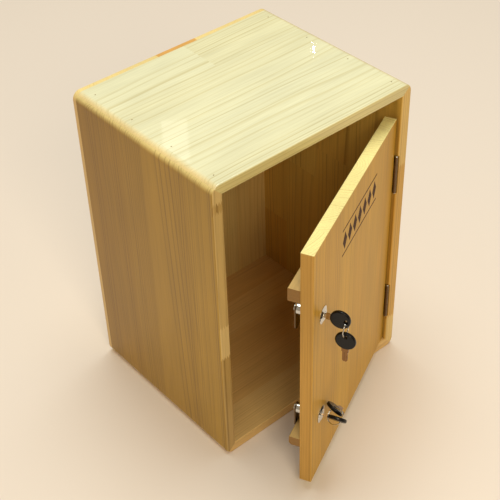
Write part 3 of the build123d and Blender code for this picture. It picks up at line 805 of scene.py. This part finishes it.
# %% A screw on each point
whole = add(screw_tree, "GeometryNodeJoinGeometry")
for half in (recessed, shank):
    screw_tree.links.new(half.outputs[0], whole.inputs["Geometry"])
outward = add(screw_tree, "GeometryNodeInputNamedAttribute", {"Name": "outward"}, data_type="FLOAT_VECTOR")
turned = add(screw_tree, "FunctionNodeAlignRotationToVector", {"Vector": outward.outputs["Attribute"]},
             axis="Z")
screws = add(screw_tree, "GeometryNodeInstanceOnPoints", {
    "Points": sizes["Geometry"], "Instance": whole, "Rotation": turned})
close_tree(screw_tree, screws, zinc)

# %% Screws on their bodies
for name, body, shank_radius in (("hinge_frame_screws", "carcass", 1.5 * MM),
                                 ("keeper_screws", "carcass", 1.7 * MM),
                                 ("hinge_door_screws", "door", 1.5 * MM),
                                 ("batten_screws", "door", 1.8 * MM)):
    found = screw_places(name)
    heads = bpy.data.meshes.new(name + "_heads")
    heads.from_pydata([centre for centre, _, _, _ in found], [], [])
    direction = heads.attributes.new("outward", "FLOAT_VECTOR", "POINT")
    for item, (_, axis, _, _) in zip(direction.data, found):
        item.vector = axis
    head_radius, length = (float(size) for size in found[0][2:])
    piece = grown(f"crossed_{name}", screw_tree, {
        "Head Radius": head_radius, "Shank Radius": shank_radius, "Length": length}, heads)
    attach(piece, body)
    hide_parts(name)
    print(len(found), name, "with a head radius of", round(head_radius / MM, 2), "mm")

# %% [markdown]
# ## A burnt ornament on the door
# The door's upper part carries a burnt-in ornament: a row of solid lozenges between two straight rules,
# as old chests have. Burning darkens the wood and leaves it matt, so the marks are thin dark plates that
# stand only half a tenth of a millimetre proud and follow the door when it swings.

# %% Charred wood
# Pine scorched by a hot iron: dark brown, without shine, and mottled by soot.
SOOT_SIZE = 3.846 * MM
SOOT_RELIEF = 0.1 * MM
charred, tree = new_material("charred_pine")
point = add(tree, "ShaderNodeTexCoord").outputs["Object"]
soot = add(tree, "ShaderNodeTexNoise", {"Vector": point, "Scale": 1 / SOOT_SIZE, "Detail": 4.0})
tint = add(tree, "ShaderNodeMix", {"Factor": soot, 6: linear("#2A1408"), 7: linear("#5A3214")},
           data_type="RGBA")
bump = add(tree, "ShaderNodeBump", {"Strength": 0.3, "Distance": SOOT_RELIEF, "Height": soot})
shader = add(tree, "ShaderNodeBsdfPrincipled", {
    "Base Color": tint, "Roughness": 0.8, "IOR": 1.5, "Normal": bump})
add(tree, "ShaderNodeOutputMaterial", {"Surface": shader})

# %% Ornament tree
LOZENGES = 7
ornament_tree, sizes = new_tree("lozenge_band", {
    "Cells": LOZENGES, "Cell": 19.5 * MM, "Lozenge Width": 16.0 * MM, "Lozenge Height": 30.0 * MM,
    "Rule Width": 2.6 * MM, "Rule Gap": 42.0 * MM, "Thickness": 0.1 * MM})
lozenge = add(ornament_tree, "GeometryNodeMeshCylinder", {"Vertices": 4, "Radius": 0.5, "Depth": 1.0})
lozenge_size = add(ornament_tree, "ShaderNodeCombineXYZ", {
    "X": sizes["Lozenge Width"], "Y": sizes["Lozenge Height"], "Z": sizes["Thickness"]})
length = add(ornament_tree, "ShaderNodeMath", {0: sizes["Cells"], 1: sizes["Cell"]}, operation="MULTIPLY")
rule = add(ornament_tree, "GeometryNodeMeshCube", {"Size": (1.0, 1.0, 1.0)})
rule_size = add(ornament_tree, "ShaderNodeCombineXYZ", {
    "X": length, "Y": sizes["Rule Width"], "Z": sizes["Thickness"]})
band = add(ornament_tree, "GeometryNodeJoinGeometry")
for shape, size, count, step, axis in ((lozenge, lozenge_size, sizes["Cells"], sizes["Cell"], "X"),
                                       (rule, rule_size, 2, sizes["Rule Gap"], "Y")):
    steps_before = add(ornament_tree, "ShaderNodeMath", {0: count, 1: -0.5, 2: 0.5}, operation="MULTIPLY_ADD")
    first = add(ornament_tree, "ShaderNodeMath", {0: steps_before, 1: step}, operation="MULTIPLY")
    row = add(ornament_tree, "GeometryNodeMeshLine", {
        "Count": count, "Start Location": add(ornament_tree, "ShaderNodeCombineXYZ", {axis: first}),
        "Offset": add(ornament_tree, "ShaderNodeCombineXYZ", {axis: step})}, mode="OFFSET")
    marks = add(ornament_tree, "GeometryNodeInstanceOnPoints", {
        "Points": row, "Instance": shape, "Scale": size})
    ornament_tree.links.new(marks.outputs["Instances"], band.inputs["Geometry"])
flat_sided = add(ornament_tree, "GeometryNodeSetShadeSmooth", {"Geometry": band, "Shade Smooth": False})
close_tree(ornament_tree, flat_sided, charred)

# %% Ornament on the door
FROM_PIN, ABOVE_FLOOR = 149 * MM, 385 * MM
door_points = [v.co for v in nodes["door_panel"].data.vertices]
face = max((p - pin).dot(out_of_door) for p in door_points)
ornament_centre = pin + FROM_PIN * to_free_edge + face * out_of_door + ABOVE_FLOOR * Z
ornament_place = Matrix((-to_free_edge, Z, out_of_door)).transposed().to_4x4()
ornament = grown("burnt_ornament", ornament_tree, {"Cells": LOZENGES}, bpy.data.meshes.new("ornament_start"),
                 Matrix.Translation(ornament_centre) @ ornament_place)
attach(ornament, "door")
